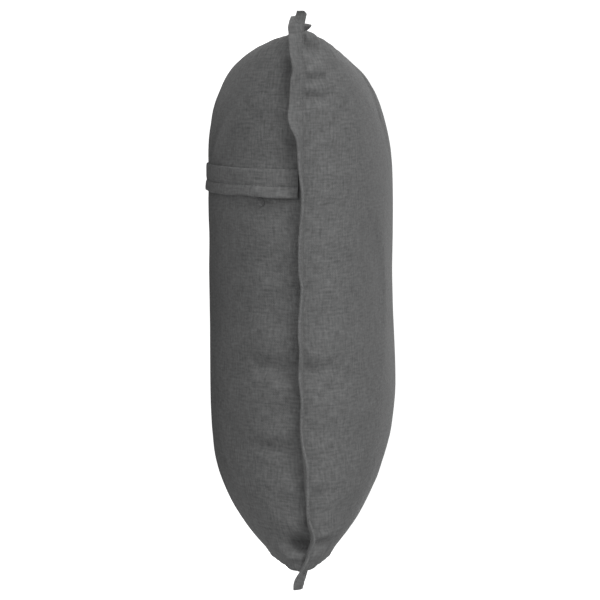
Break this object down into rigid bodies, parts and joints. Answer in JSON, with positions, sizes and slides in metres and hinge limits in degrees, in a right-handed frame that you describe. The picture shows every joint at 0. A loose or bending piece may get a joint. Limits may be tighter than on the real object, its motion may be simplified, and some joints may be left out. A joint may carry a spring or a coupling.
{
  "type": "back cushion",
  "caption": "Filled rectangular back cushion with a flat stitched flange all round and a flap over the closure across its back, lying on its back.",
  "frame": {"origin": "on the flat of the back panel that the cushion rests on, halfway along its width and its height", "axes": "+X along the cushion's long side, +Y from its lower edge to its upper edge, the one nearer the flap, +Z from the back panel to the front panel"},
  "size_m": [0.5982, 0.3801, 0.1323],
  "materials": {
    "cover_cloth": "matt plain weave with slubs, linen look",
    "flange_cloth": "matt plain weave with slubs, linen look",
    "flap_cloth": "matt plain weave with slubs, linen look",
    "pull_tab": "matt"
  },
  "bodies": {
    "root": {"cushion": "cover_cloth", "flange": "flange_cloth", "zip_flap": "flap_cloth", "zip_pull": "pull_tab"}
  },
  "joints": []
}
